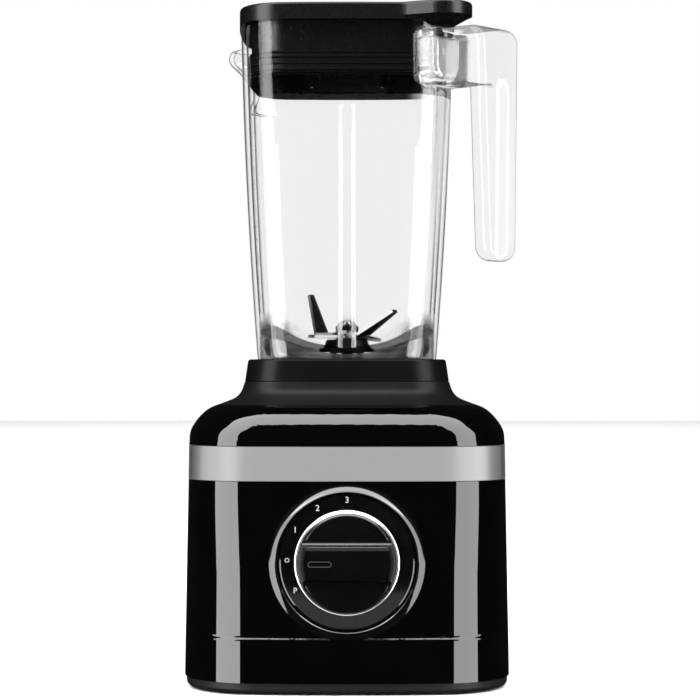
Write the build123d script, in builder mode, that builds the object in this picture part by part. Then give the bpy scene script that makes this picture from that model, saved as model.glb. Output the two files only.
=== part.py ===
from build123d import *
import math
import os

# Countertop blender: a motor base with a rotary speed dial, and a lift-off jar with handle, blades, lid and fill cap.
# Millimetres, +Z up. The origin is on the motor axis, on the plane that the foot ring stands on; the dial faces -Y.
# The jar's handle is on the front right corner and its pouring spout on the back left corner.

os.makedirs("parts", exist_ok=True)

# ---------------------------------------------------------------- driving dimensions
# base housing: stations are (height, half width, half depth, corner radius)
BODY_BOW = 700.0  # radius of the bowed sides, seen from above
WALL = 3.0
PLINTH = [(7.0, 97.4, 102.6, 44.0), (31.0, 97.1, 102.25, 44.0)]
LEDGE = [
    (31.0, 97.1, 102.25, 44.0),
    (31.5, 97.1, 102.2, 44.0),
    (31.95, 97.09, 102.05, 43.97),
    (32.65, 97.03, 101.2, 43.6),
    (33.15, 97.01, 101.05, 43.52),
    (33.7, 97.0, 101.0, 43.5),
]
BODY = [(33.7, 97.0, 101.0, 43.5), (141.5, 94.9, 101.0, 42.5)]
DOME = [
    (141.5, 94.9, 101.0, 42.5),
    (145.5, 94.7, 100.8, 42.5),
    (149.5, 93.9, 100.0, 42.3),
    (153.0, 92.1, 98.2, 41.6),
    (156.5, 89.5, 95.6, 40.6),
    (160.0, 86.1, 92.1, 39.0),
    (162.5, 82.5, 88.3, 37.4),
    (164.5, 77.6, 83.2, 35.2),
]
DOME_INSIDE = [
    (141.5, 91.9, 98.0, 39.5),
    (146.0, 91.4, 97.5, 39.3),
    (151.0, 89.4, 95.5, 38.8),
    (156.5, 84.6, 90.7, 37.0),
    (161.5, 75.5, 81.1, 33.0),
]
BAND_Z = (121.2, 141.5)
BAND_T = 1.0
TRAY_BOSSES = (76.8, 82.0)
MOTOR_BOSS = 42.0
# dial
DIAL_Z = 75.5
DIAL_Y = 4.5  # the dial's own distances start this far in front of the axis
PAD_Y = (93.0, 89.0)  # floor under the dial plate, and its back
BEZEL_R = (39.6, 44.3)
PLATE_R = 39.2
PLATE_Y = 97.2
KNOB_Y = (97.7, 108.7)
KNOB_R = 30.0
DISC_R = (29.2, 26.7)  # the knob's disc, at its foot and at its face
DISC_Y = 101.1
BAR_END = 24.5
# neck and jar seat
SEAT_Z = 178.0
NECK = [
    (164.5, 77.6, 83.2, 35.2),
    (165.2, 75.8, 81.0, 34.2),
    (166.6, 71.9, 75.6, 31.6),
    (168.6, 67.6, 70.0, 29.0),
    (171.5, 64.7, 65.6, 26.8),
    (174.8, 63.1, 63.5, 25.6),
    (178.0, 62.2, 62.4, 25.2),
]
NECK_BOW = 520.0
BOSS_HW = 46.0
BOSS_TOP = 184.5
WELL_R = 24.5
# jar
JAR_Z = (184.0, 390.0)
JAR_HW = (54.1, 64.5)
JAR_BULGE = 6.0  # how strongly the sides curve between those two
JAR_R = (24.0, 26.0)
JAR_WALL = 3.0
BOWL_Z = 195.5
BOWL_FLAT = 38.0  # flat middle of the floor
BOWL_RS = 30.5
BOWL_T = 4.0
RIB_TOP = 346.0
RIB_R = 8.5
RIB_DEPTH = 3.0
# handle, in the vertical plane through the front right corner: distances from the axis
GRIP_IN = (111.75, 113.15)  # inner face of the grip, at the arm and at the bottom
GRIP_OUT = (124.6, 126.4)
GRIP_BOTTOM = 247.0
ARM_Z = (351.0, 383.0)
GRIP_W = (33.1, 25.6)
# lid
LID_Z = (390.0, 400.0)
LID_HW = 65.15
LID_R = 26.6
TAB_TIP = 97.0
TAB_R = 17.0
PLUG_BOTTOM = 358.5
PLUG_HW = 58.0
PLUG_R = 21.6
# motor
SHAFT_R = 4.0
FIT = 0.03  # radial clearance of pressed and running bores
STACK_Z = (70.0, 116.0)
TIE = 33.0  # tie bolts sit at +-TIE
BLADE_Z = 204.5


# ---------------------------------------------------------------- outlines
def bowed(z, hw, hd, r, bow):
    """Rounded rectangle with four slightly bowed sides at height z."""
    a, b, k = hw - bow, hd - bow, bow - r
    low, high = 0.0, hd
    for _ in range(80):  # the corner's centre lies k from the centres of both side arcs
        cy = (low + high) / 2
        cx = (a * a - b * b + 2 * b * cy) / (2 * a)
        if math.hypot(cx - a, cy) < k:
            low = cy
        else:
            high = cy
    d1 = Vector(cx - a, cy).normalized()
    d2 = Vector(cx, cy - b).normalized()
    p1 = Vector(a, 0) + d1 * bow
    p2 = Vector(0, b) + d2 * bow
    m = Vector(cx, cy) + (d1 + d2).normalized() * r
    with BuildSketch(Plane.XY.offset(z)) as sk:
        with BuildLine():
            ThreePointArc((p1.X, -p1.Y), (hw, 0), (p1.X, p1.Y))
            ThreePointArc((p1.X, p1.Y), (m.X, m.Y), (p2.X, p2.Y))
            ThreePointArc((p2.X, p2.Y), (0, hd), (-p2.X, p2.Y))
            ThreePointArc((-p2.X, p2.Y), (-m.X, m.Y), (-p1.X, p1.Y))
            ThreePointArc((-p1.X, p1.Y), (-hw, 0), (-p1.X, -p1.Y))
            ThreePointArc((-p1.X, -p1.Y), (-m.X, -m.Y), (-p2.X, -p2.Y))
            ThreePointArc((-p2.X, -p2.Y), (0, -hd), (p2.X, -p2.Y))
            ThreePointArc((p2.X, -p2.Y), (m.X, -m.Y), (p1.X, -p1.Y))
        make_face()
    return sk.sketch


def outlines(stations, bow, inset=0.0, drop=0.0):
    """Outlines at each station, moved inwards by inset and down by drop."""
    return [bowed(z - drop, hw - inset, hd - inset, r - inset, bow - inset) for z, hw, hd, r in stations]


def body_at(z):
    """Station of the housing's upright part at height z."""
    t = (z - BODY[0][0]) / (BODY[1][0] - BODY[0][0])
    return (z, *[u + (v - u) * t for u, v in zip(BODY[0][1:], BODY[1][1:])])


def jar_hw(z):
    """Half width of the jar's outside at height z."""
    t = (z - JAR_Z[0]) / (JAR_Z[1] - JAR_Z[0])
    return JAR_HW[0] + (JAR_HW[1] - JAR_HW[0]) * t + JAR_BULGE * t * (1 - t)


def jar_outline(z, inset=0.0):
    """The jar's outside outline at height z, moved inwards by inset."""
    hw = jar_hw(z)
    r = JAR_R[0] + (JAR_R[1] - JAR_R[0]) * (z - JAR_Z[0]) / (JAR_Z[1] - JAR_Z[0])
    return bowed(z, hw - inset, hw - inset, r - inset, NECK_BOW - inset)


def tongue(z, direction, root, root_r, tip, tip_r):
    """Hull of two circles at distances root and tip from the axis, along a horizontal direction, at height z."""
    ux, uy = direction
    with BuildSketch(Plane.XY.offset(z)) as sk:
        with Locations((root * ux, root * uy)):
            Circle(root_r)
        with Locations((tip * ux, tip * uy)):
            Circle(tip_r)
        make_hull()
    return sk.sketch


def bulged(z, length, depth, flat):
    """Fill-chute outline: flat front and back, bulged ends."""
    with BuildSketch(Plane.XY.offset(z)) as sk:
        with BuildLine():
            Line((-flat / 2, -depth / 2), (flat / 2, -depth / 2))
            ThreePointArc((flat / 2, -depth / 2), (length / 2, 0), (flat / 2, depth / 2))
            Line((flat / 2, depth / 2), (-flat / 2, depth / 2))
            ThreePointArc((-flat / 2, depth / 2), (-length / 2, 0), (-flat / 2, -depth / 2))
        make_face()
        fillet(sk.vertices(), 5)
    return sk.sketch


def sector(z, r0, r1, a0, a1):
    """Part of a ring between two radii and two angles, at height z."""
    def polar(r, a):
        return (r * math.cos(math.radians(a)), r * math.sin(math.radians(a)))

    am = (a0 + a1) / 2
    with BuildSketch(Plane.XY.offset(z)) as sk:
        with BuildLine():
            Line(polar(r0, a0), polar(r1, a0))
            ThreePointArc(polar(r1, a0), polar(r1, am), polar(r1, a1))
            Line(polar(r1, a1), polar(r0, a1))
            ThreePointArc(polar(r0, a1), polar(r0, am), polar(r0, a0))
        make_face()
    return sk.sketch


HALF = math.sqrt(0.5)
TO_HANDLE = (HALF, -HALF)
TO_SPOUT = (-HALF, HALF)
FRONT = Plane(origin=(0, -DIAL_Y, DIAL_Z), x_dir=(1, 0, 0), z_dir=(0, -1, 0))  # the dial seen from the front
HANDLE = Plane(origin=(0, 0, 0), x_dir=(HALF, -HALF, 0), z_dir=(-HALF, -HALF, 0))  # x away from the axis, y up
DIAL_AXIS = Axis((0, 0, DIAL_Z), (0, -1, 0))
DIAL_SIDE = Plane(origin=(0, -DIAL_Y, DIAL_Z), x_dir=(0, -1, 0), z_dir=(-1, 0, 0))  # x to the front, y up


# ---------------------------------------------------------------- base: housing, band, neck, tray
with BuildPart() as band_groove:
    loft(outlines([body_at(BAND_Z[0]), body_at(BAND_Z[1])], BODY_BOW, inset=-6), ruled=True)
    loft(outlines([body_at(BAND_Z[0]), body_at(BAND_Z[1])], BODY_BOW, inset=BAND_T), ruled=True, mode=Mode.SUBTRACT)

with BuildPart() as housing:
    loft(outlines(PLINTH, BODY_BOW), ruled=True)
    loft(outlines(LEDGE, BODY_BOW))
    loft(outlines(BODY, BODY_BOW), ruled=True)
    loft(outlines(DOME, BODY_BOW))
    # hollow inside, open at the bottom
    loft(outlines([PLINTH[0], BODY[1]], BODY_BOW, inset=WALL), ruled=True, mode=Mode.SUBTRACT)
    loft(outlines(DOME_INSIDE, BODY_BOW), ruled=True, mode=Mode.SUBTRACT)
    add(band_groove.part, mode=Mode.SUBTRACT)
    # pad behind the dial with the seat for bezel and plate, and the hole for the switch bush
    with BuildSketch(FRONT.offset(PAD_Y[1])):
        Circle(49)
    extrude(amount=5.5)
    with BuildSketch(FRONT.offset(PAD_Y[0])):
        Circle(BEZEL_R[1] + 0.2)
    extrude(amount=20, mode=Mode.SUBTRACT)
    with BuildSketch(FRONT.offset(80)):
        Circle(4.6)
    extrude(amount=20, mode=Mode.SUBTRACT)
    # screw bosses for the tray in the four corners
    with BuildSketch(Plane.XY.offset(7.0)):
        with GridLocations(2 * TRAY_BOSSES[0], 2 * TRAY_BOSSES[1], 2, 2):
            Circle(5.5)
    extrude(amount=20)
    with BuildSketch(Plane.XY.offset(7.0)):
        with GridLocations(2 * TRAY_BOSSES[0], 2 * TRAY_BOSSES[1], 2, 2):
            Circle(1.7)
    extrude(amount=17, mode=Mode.SUBTRACT)
    # opening above the motor, and bosses hanging from the top for it
    with BuildSketch(Plane.XY.offset(150.0)):
        Circle(31)
    extrude(amount=20, mode=Mode.SUBTRACT)
    with BuildSketch(Plane.XY.offset(155.0)):
        with GridLocations(2 * MOTOR_BOSS, 2 * MOTOR_BOSS, 2, 2):
            Circle(6)
    extrude(amount=7.5)
    with BuildSketch(Plane.XY.offset(155.0)):
        with GridLocations(2 * MOTOR_BOSS, 2 * MOTOR_BOSS, 2, 2):
            Circle(1.95)
    extrude(amount=7.0, mode=Mode.SUBTRACT)
    # holes for the screws that hold the neck
    with BuildSketch(Plane.XY.offset(158.0)):
        with GridLocations(104, 40, 2, 2):
            Circle(1.9)
    extrude(amount=10, mode=Mode.SUBTRACT)
    # posts for the control board on the rear wall
    with BuildSketch(Plane(origin=(0, 73.6, 75), x_dir=(-1, 0, 0), z_dir=(0, 1, 0))):
        with GridLocations(58, 44, 2, 2):
            Circle(4)
    extrude(amount=26)
    # notch for the cord gland in the lower rear edge
    with BuildSketch(Plane(origin=(0, 85, 0), x_dir=(-1, 0, 0), z_dir=(0, 1, 0))):
        with Locations((0, 10.5)):
            Rectangle(13, 10)
        with Locations((0, 15.5)):
            Circle(6.5)
    extrude(amount=20, mode=Mode.SUBTRACT)
housing.part.label = "housing"
export_step(housing.part, "parts/housing.step")

with BuildPart() as trim_band:
    low, high = BAND_Z[0] + 0.1, BAND_Z[1] - 0.1
    steps = ((low, 0.05), (low + 0.3, -0.2), (high - 0.3, -0.2), (high, 0.05))
    loft([outlines([body_at(z)], BODY_BOW, inset=i)[0] for z, i in steps], ruled=True)
    loft(outlines([body_at(low), body_at(high)], BODY_BOW, inset=BAND_T - 0.05), ruled=True, mode=Mode.SUBTRACT)
trim_band.part.label = "trim_band"
export_step(trim_band.part, "parts/trim_band.step")

with BuildPart() as neck:
    loft(outlines(NECK, NECK_BOW))
    extrude(bowed(SEAT_Z, BOSS_HW, BOSS_HW, 18, NECK_BOW), amount=BOSS_TOP - SEAT_Z)
    fillet(neck.faces().sort_by(Axis.Z)[-1].edges(), 1.5)
    # shell from below, with the well for the coupling left standing
    loft(
        [bowed(164.5, 66, 68.5, 26, NECK_BOW), bowed(168.5, 60, 61.5, 23, NECK_BOW), bowed(174.8, 57.5, 58, 21.5, NECK_BOW)],
        ruled=True,
        mode=Mode.SUBTRACT,
    )
    extrude(bowed(174.8, BOSS_HW - 3, BOSS_HW - 3, 15, NECK_BOW), amount=6.7, mode=Mode.SUBTRACT)
    with BuildSketch(Plane.XY.offset(164.5)):
        Circle(WELL_R + 3)
    extrude(amount=BOSS_TOP - 164.5 - 1.5)
    with BuildSketch(Plane.XY.offset(169.5)):
        Circle(WELL_R)
    extrude(amount=20, mode=Mode.SUBTRACT)
    with BuildSketch(Plane.XY.offset(160)):
        Circle(6.5)
    extrude(amount=20, mode=Mode.SUBTRACT)
    # screw posts
    with BuildSketch(Plane.XY.offset(164.5)):
        with GridLocations(104, 40, 2, 2):
            Circle(4.5)
    extrude(amount=11.5)
    with BuildSketch(Plane.XY.offset(164.5)):
        with GridLocations(104, 40, 2, 2):
            Circle(1.5)
    extrude(amount=9, mode=Mode.SUBTRACT)
neck.part.label = "neck"
export_step(neck.part, "parts/neck.step")

with BuildPart() as foot_tray:
    loft([bowed(0.8, 93.5, 98.7, 41, BODY_BOW), bowed(1.6, 95.3, 100.5, 42.6, BODY_BOW), bowed(3.4, 96.3, 101.5, 43.3, BODY_BOW)])
    extrude(bowed(3.4, 96.3, 101.5, 43.3, BODY_BOW), amount=3.6)
    extrude(bowed(3.8, 92.8, 98.0, 39.8, BODY_BOW), amount=4, mode=Mode.SUBTRACT)
    # groove for the foot ring
    extrude(bowed(0.8, 86.5, 91.7, 35, BODY_BOW), amount=1.6, mode=Mode.SUBTRACT)
    extrude(bowed(0.8, 77.1, 82.3, 26, BODY_BOW), amount=1.6)
    # screw columns and their counterbored holes
    with BuildSketch(Plane.XY.offset(2.4)):
        with GridLocations(2 * TRAY_BOSSES[0], 2 * TRAY_BOSSES[1], 2, 2):
            Circle(5.5)
    extrude(amount=4.6)
    with BuildSketch(Plane.XY):
        with GridLocations(2 * TRAY_BOSSES[0], 2 * TRAY_BOSSES[1], 2, 2):
            Circle(2.0)
    extrude(amount=10, mode=Mode.SUBTRACT)
    with BuildSketch(Plane.XY):
        with GridLocations(2 * TRAY_BOSSES[0], 2 * TRAY_BOSSES[1], 2, 2):
            Circle(3.8)
    extrude(amount=4.0, mode=Mode.SUBTRACT)
    # air slots
    with BuildSketch(Plane.XY):
        with GridLocations(9, 46, 9, 2):
            SlotOverall(34, 4.5, rotation=90)
    extrude(amount=5, mode=Mode.SUBTRACT)
foot_tray.part.label = "foot_tray"
export_step(foot_tray.part, "parts/foot_tray.step")

with BuildPart() as foot_ring:
    extrude(bowed(0, 86.3, 91.5, 34.8, BODY_BOW), amount=2.4)
    extrude(bowed(0, 77.3, 82.5, 26.2, BODY_BOW), amount=2.4, mode=Mode.SUBTRACT)
    with BuildSketch(Plane.XY):
        with GridLocations(2 * TRAY_BOSSES[0], 2 * TRAY_BOSSES[1], 2, 2):
            Circle(4.2)
    extrude(amount=5, mode=Mode.SUBTRACT)
foot_ring.part.label = "foot_ring"
export_step(foot_ring.part, "parts/foot_ring.step")

with BuildPart() as tray_screws:
    with BuildSketch(Plane.XY.offset(1.5)):
        with GridLocations(2 * TRAY_BOSSES[0], 2 * TRAY_BOSSES[1], 2, 2):
            Circle(3.5)
    extrude(amount=2.5)
    with BuildSketch(Plane.XY.offset(4.0)):
        with GridLocations(2 * TRAY_BOSSES[0], 2 * TRAY_BOSSES[1], 2, 2):
            Circle(1.65)
    extrude(amount=17)
    with BuildSketch(Plane.XY.offset(1.5)):
        with GridLocations(2 * TRAY_BOSSES[0], 2 * TRAY_BOSSES[1], 2, 2):
            Rectangle(4, 0.9)
            Rectangle(0.9, 4)
    extrude(amount=1.2, mode=Mode.SUBTRACT)
tray_screws.part.label = "tray_screws"
export_step(tray_screws.part, "parts/tray_screws.step")

with BuildPart() as neck_screws:
    with BuildSketch(Plane.XY.offset(159.3)):
        with GridLocations(104, 40, 2, 2):
            Circle(3.4)
    extrude(amount=2.2)
    with BuildSketch(Plane.XY.offset(161.5)):
        with GridLocations(104, 40, 2, 2):
            Circle(1.45)
    extrude(amount=10)
neck_screws.part.label = "neck_screws"
export_step(neck_screws.part, "parts/neck_screws.step")

with BuildPart() as cord_gland:
    REAR = Plane(origin=(0, 97.0, 0), x_dir=(-1, 0, 0), z_dir=(0, 1, 0))
    for start, depth, grow in ((0, 2.3, 3.0), (2.3, 3.7, -0.2), (6.0, 2.2, 3.0)):
        with BuildSketch(REAR.offset(start)):
            with Locations((0, 11.3)):
                Rectangle(13 + 2 * grow, 8.4)
            with Locations((0, 15.5)):
                Circle(6.5 + grow)
            with Locations((0, 2.1)):
                Rectangle(60, 10, mode=Mode.SUBTRACT)
        extrude(amount=depth)
    with BuildSketch(REAR.offset(-2)):
        with Locations((0, 15.5)):
            Circle(3.6)
    extrude(amount=14, mode=Mode.SUBTRACT)
cord_gland.part.label = "cord_gland"
export_step(cord_gland.part, "parts/cord_gland.step")

# ---------------------------------------------------------------- dial
with BuildPart() as bezel:
    with BuildSketch(DIAL_SIDE):
        with BuildLine():
            Polyline((93.0, BEZEL_R[0]), (93.0, BEZEL_R[1]), (96.0, BEZEL_R[1]))
            Spline((96.0, BEZEL_R[1]), (96.26, 43.3), (96.6, 42.3), (97.05, 41.3), (97.5, 40.6), (98.18, 39.95))
            Polyline((98.18, 39.95), (97.9, BEZEL_R[0]), (93.0, BEZEL_R[0]))
        make_face()
    revolve(axis=DIAL_AXIS)
bezel.part.label = "dial_bezel"
export_step(bezel.part, "parts/dial_bezel.step")

with BuildPart() as dial_plate:
    with BuildSketch(DIAL_SIDE):
        with BuildLine():
            Polyline(
                (93.0, 9.5), (93.0, PLATE_R), (96.2, PLATE_R), (97.0, PLATE_R - 0.9), (PLATE_Y, PLATE_R - 1.6),
                (PLATE_Y, 28.0), (96.6, 27.6), (96.6, 5.4), (95.4, 5.4), (95.4, 9.5), (93.0, 9.5),
            )
        make_face()
    revolve(axis=DIAL_AXIS)
dial_plate.part.label = "dial_plate"
export_step(dial_plate.part, "parts/dial_plate.step")

with BuildPart() as knob_ring:
    with BuildSketch(DIAL_SIDE):
        with BuildLine():
            Polyline((98.7, DISC_R[0]), (KNOB_Y[0], DISC_R[0]), (KNOB_Y[0], KNOB_R), (98.1, KNOB_R))
            ThreePointArc((98.1, KNOB_R), (98.66, 29.76), (98.9, DISC_R[0] + 0.15))
            Line((98.9, DISC_R[0] + 0.15), (98.7, DISC_R[0]))
        make_face()
    revolve(axis=DIAL_AXIS)
knob_ring.part.label = "knob_ring"
export_step(knob_ring.part, "parts/knob_ring.step")

with BuildPart() as grip_bar:
    with BuildSketch(DIAL_SIDE) as bar_section:
        with BuildLine():
            ThreePointArc((100.9, 13.8), (102.101, 10.901), (105.0, 9.7))
            Polyline((105.0, 9.7), (106.3, 9.5), (107.9, 7.6), (KNOB_Y[1], 5.6), (KNOB_Y[1], -5.6), (107.9, -7.6), (106.3, -9.5), (105.0, -9.7))
            ThreePointArc((105.0, -9.7), (102.101, -10.901), (100.9, -13.8))
            Polyline((100.9, -13.8), (99.2, -13.8), (99.2, 13.8), (100.9, 13.8))
        make_face()
    extrude(amount=30, both=True)
    with BuildSketch(DIAL_SIDE):
        with BuildLine():
            Polyline((97.9, 0), (97.9, 29.25), (KNOB_Y[1] + 0.1, BAR_END), (KNOB_Y[1] + 0.1, 0), (97.9, 0))
        make_face()
    revolve(axis=DIAL_AXIS, mode=Mode.INTERSECT)

with BuildPart() as knob:
    with BuildSketch(DIAL_SIDE):
        with BuildLine():
            Polyline(
                (KNOB_Y[0], 0), (KNOB_Y[0], DISC_R[0] - FIT), (98.6, DISC_R[0] - FIT), (DISC_Y - 0.2, DISC_R[1] + 0.2), (DISC_Y, DISC_R[1] - 0.3),
                (DISC_Y, 0), (KNOB_Y[0], 0),
            )
        make_face()
    revolve(axis=DIAL_AXIS)
    add(grip_bar.part)
    # pointer, sunk in the left end of the bar
    with BuildSketch(FRONT.offset(KNOB_Y[1] - 0.5)):
        with Locations((-15.4, 0)):
            SlotOverall(13.8, 3.6)
    extrude(amount=3, mode=Mode.SUBTRACT)
    # blind hole for the spindle
    with BuildSketch(FRONT.offset(KNOB_Y[0])):
        Circle(3 + FIT)
    extrude(amount=7.5, mode=Mode.SUBTRACT)
knob.part.label = "knob"
export_step(knob.part, "parts/knob.step")

with BuildPart() as switch_spindle:
    with BuildSketch(FRONT.offset(72)):
        Circle(3)
    extrude(amount=33)
switch_spindle.part.label = "switch_spindle"
export_step(switch_spindle.part, "parts/switch_spindle.step")

with BuildPart() as rotary_switch:
    with BuildSketch(FRONT.offset(68)):
        RectangleRounded(32, 30, 3)
    extrude(amount=PAD_Y[1] - 68)
    with BuildSketch(FRONT.offset(PAD_Y[1])):
        Circle(4.5)
    extrude(amount=6.2)
    with BuildSketch(FRONT.offset(70)):
        Circle(3 + 0.05)
    extrude(amount=40, mode=Mode.SUBTRACT)
    with BuildSketch(FRONT.offset(62)):
        with GridLocations(8, 12, 3, 2):
            Rectangle(0.8, 5)
    extrude(amount=6)
rotary_switch.part.label = "rotary_switch"
export_step(rotary_switch.part, "parts/rotary_switch.step")

with BuildPart() as switch_nut:
    with BuildSketch(FRONT.offset(PAD_Y[0])):
        RegularPolygon(7.4, 6)
        Circle(4.5 + FIT, mode=Mode.SUBTRACT)
    extrude(amount=2.0)
switch_nut.part.label = "switch_nut"
export_step(switch_nut.part, "parts/switch_nut.step")

with BuildPart() as control_board:
    BOARD = Plane(origin=(0, 73.5, 75), x_dir=(1, 0, 0), z_dir=(0, -1, 0))
    with BuildSketch(BOARD):
        RectangleRounded(70, 56, 2)
    extrude(amount=1.6)
    for x, y, w, h, t in ((-18, 10, 16, 22, 9), (12, 14, 10, 6, 14), (22, -12, 12, 18, 7), (-2, -14, 18, 8, 5), (-22, -16, 9, 9, 11)):
        with BuildSketch(BOARD.offset(1.6)):
            with Locations((x, y)):
                Rectangle(w, h)
        extrude(amount=t)
control_board.part.label = "control_board"
export_step(control_board.part, "parts/control_board.step")

# ---------------------------------------------------------------- motor
with BuildPart() as motor_shaft:
    with BuildSketch(Plane.XY.offset(32)):
        Circle(SHAFT_R)
    extrude(amount=181 - 32)
    chamfer(motor_shaft.edges().filter_by(GeomType.CIRCLE), 0.6)
motor_shaft.part.label = "motor_shaft"
export_step(motor_shaft.part, "parts/motor_shaft.step")

with BuildPart() as armature_core:
    with BuildSketch(Plane.XY.offset(STACK_Z[0] + 1)):
        Circle(22.6)
        Circle(SHAFT_R + FIT, mode=Mode.SUBTRACT)
        with PolarLocations(17.5, 12):
            SlotOverall(9, 5, mode=Mode.SUBTRACT)
        with PolarLocations(22.5, 12):
            Rectangle(4, 1.8, mode=Mode.SUBTRACT)
    extrude(amount=STACK_Z[1] - STACK_Z[0] - 2)
armature_core.part.label = "armature_core"
export_step(armature_core.part, "parts/armature_core.step")

with BuildPart() as armature_windings:
    for z0, z1 in ((STACK_Z[1] - 1, STACK_Z[1] + 7), (STACK_Z[0] - 7, STACK_Z[0] + 1)):
        with BuildSketch(Plane.XY.offset(z0)):
            Circle(21)
            Circle(6, mode=Mode.SUBTRACT)
        extrude(amount=z1 - z0)
    fillet(armature_windings.edges().filter_by(GeomType.CIRCLE).filter_by(lambda e: e.radius > 20), 2.5)
    with BuildSketch(Plane.XY.offset(STACK_Z[0] - 2)):
        with PolarLocations(17.5, 12):
            SlotOverall(8.6, 4.6)
    extrude(amount=STACK_Z[1] - STACK_Z[0] + 4)
armature_windings.part.label = "armature_windings"
export_step(armature_windings.part, "parts/armature_windings.step")

with BuildPart() as commutator:
    with BuildSketch(Plane.XY.offset(47)):
        Circle(11)
        Circle(SHAFT_R + FIT, mode=Mode.SUBTRACT)
        with PolarLocations(10.8, 24):
            Rectangle(1.6, 0.6, mode=Mode.SUBTRACT)
    extrude(amount=14)
commutator.part.label = "commutator"
export_step(commutator.part, "parts/commutator.step")

with BuildPart() as cooling_fan:
    with BuildSketch(Plane.XY.offset(126)):
        Circle(38)
        Circle(SHAFT_R + FIT, mode=Mode.SUBTRACT)
    extrude(amount=2)
    with BuildSketch(Plane.XY.offset(128)):
        Circle(9)
        Circle(SHAFT_R + FIT, mode=Mode.SUBTRACT)
    extrude(amount=9)
    with BuildSketch(Plane.XY.offset(128)):
        with PolarLocations(27, 11):
            Rectangle(20, 1.6, rotation=20)
    extrude(amount=8)
cooling_fan.part.label = "cooling_fan"
export_step(cooling_fan.part, "parts/cooling_fan.step")

with BuildPart() as drive_coupling:
    with BuildSketch(Plane.XY.offset(172)):
        Circle(16)
    extrude(amount=3)
    with BuildSketch(Plane.XY.offset(175)):
        Circle(10)
        with PolarLocations(10.3, 6):
            Circle(3)
    extrude(amount=8)
    with BuildSketch(Plane.XY.offset(170)):
        Circle(SHAFT_R + FIT)
    extrude(amount=11.1, mode=Mode.SUBTRACT)
    chamfer(drive_coupling.faces().sort_by(Axis.Z)[-1].edges(), 0.8)
drive_coupling.part.label = "drive_coupling"
export_step(drive_coupling.part, "parts/drive_coupling.step")

with BuildPart() as stator_core:
    with BuildSketch(Plane.XY.offset(STACK_Z[0])):
        RectangleRounded(80, 80, 12)
        Circle(23.4, mode=Mode.SUBTRACT)
        with GridLocations(2 * TIE, 2 * TIE, 2, 2):
            Circle(2.1, mode=Mode.SUBTRACT)
    extrude(amount=STACK_Z[1] - STACK_Z[0])
    for a0, a1 in ((-38, 38), (142, 218)):
        extrude(sector(STACK_Z[0], 25, 33, a0, a1), amount=STACK_Z[1] - STACK_Z[0], mode=Mode.SUBTRACT)
stator_core.part.label = "stator_core"
export_step(stator_core.part, "parts/stator_core.step")

with BuildPart() as field_coils:
    for turn in (0, 180):
        for a0, a1 in ((3, 36), (144, 177)):
            extrude(sector(STACK_Z[0] - 6, 25.5, 32.5, a0 + turn, a1 + turn), amount=STACK_Z[1] - STACK_Z[0] + 12)
        for z0 in (STACK_Z[0] - 6, STACK_Z[1] + 0.3):
            extrude(sector(z0, 25.5, 32.5, 3 + turn, 177 + turn), amount=5.7)
field_coils.part.label = "field_coils"
export_step(field_coils.part, "parts/field_coils.step")

with BuildPart() as upper_bracket:
    with BuildSketch(Plane.XY.offset(149)):
        RectangleRounded(98, 98, 9)
        Circle(31, mode=Mode.SUBTRACT)
        Rectangle(98, 14)
        Rectangle(14, 98)
        Circle(15)
    extrude(amount=4)
    with BuildSketch(Plane.XY.offset(143)):
        Circle(15)
    extrude(amount=6)
    with BuildSketch(Plane.XY.offset(143)):
        Circle(11 + FIT)
    extrude(amount=8, mode=Mode.SUBTRACT)
    with BuildSketch(Plane.XY.offset(140)):
        Circle(7)
        with GridLocations(2 * MOTOR_BOSS, 2 * MOTOR_BOSS, 2, 2):
            Circle(2.1)
        with GridLocations(2 * TIE, 2 * TIE, 2, 2):
            Circle(2.1)
    extrude(amount=30, mode=Mode.SUBTRACT)
upper_bracket.part.label = "upper_bracket"
export_step(upper_bracket.part, "parts/upper_bracket.step")

with BuildPart() as lower_bracket:
    with BuildSketch(Plane.XY.offset(36)):
        RectangleRounded(80, 80, 10)
        Circle(30, mode=Mode.SUBTRACT)
        Rectangle(80, 16)
        Circle(13)
    extrude(amount=4)
    with BuildSketch(Plane.XY.offset(30)):
        Circle(13)
    extrude(amount=6)
    with BuildSketch(Plane.XY.offset(32)):
        Circle(9.5 + FIT)
    extrude(amount=10, mode=Mode.SUBTRACT)
    with BuildSketch(Plane.XY.offset(28)):
        with GridLocations(2 * TIE, 2 * TIE, 2, 2):
            Circle(2.1)
    extrude(amount=20, mode=Mode.SUBTRACT)
lower_bracket.part.label = "lower_bracket"
export_step(lower_bracket.part, "parts/lower_bracket.step")

with BuildPart() as upper_bearing:
    with BuildSketch(Plane.XY.offset(143.2)):
        Circle(11)
        Circle(SHAFT_R + FIT, mode=Mode.SUBTRACT)
    extrude(amount=7.8)
upper_bearing.part.label = "upper_bearing"
export_step(upper_bearing.part, "parts/upper_bearing.step")

with BuildPart() as lower_bearing:
    with BuildSketch(Plane.XY.offset(32)):
        Circle(9.5)
        Circle(SHAFT_R + FIT, mode=Mode.SUBTRACT)
    extrude(amount=7)
lower_bearing.part.label = "lower_bearing"
export_step(lower_bearing.part, "parts/lower_bearing.step")

with BuildPart() as tie_bolts:
    with BuildSketch(Plane.XY.offset(31)):
        with GridLocations(2 * TIE, 2 * TIE, 2, 2):
            Circle(2)
    extrude(amount=122)
    for z0 in (32.5, 153.0):
        with BuildSketch(Plane.XY.offset(z0)):
            with GridLocations(2 * TIE, 2 * TIE, 2, 2):
                RegularPolygon(4, 6)
        extrude(amount=3.0 if z0 > 100 else 3.5)
tie_bolts.part.label = "tie_bolts"
export_step(tie_bolts.part, "parts/tie_bolts.step")

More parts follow.
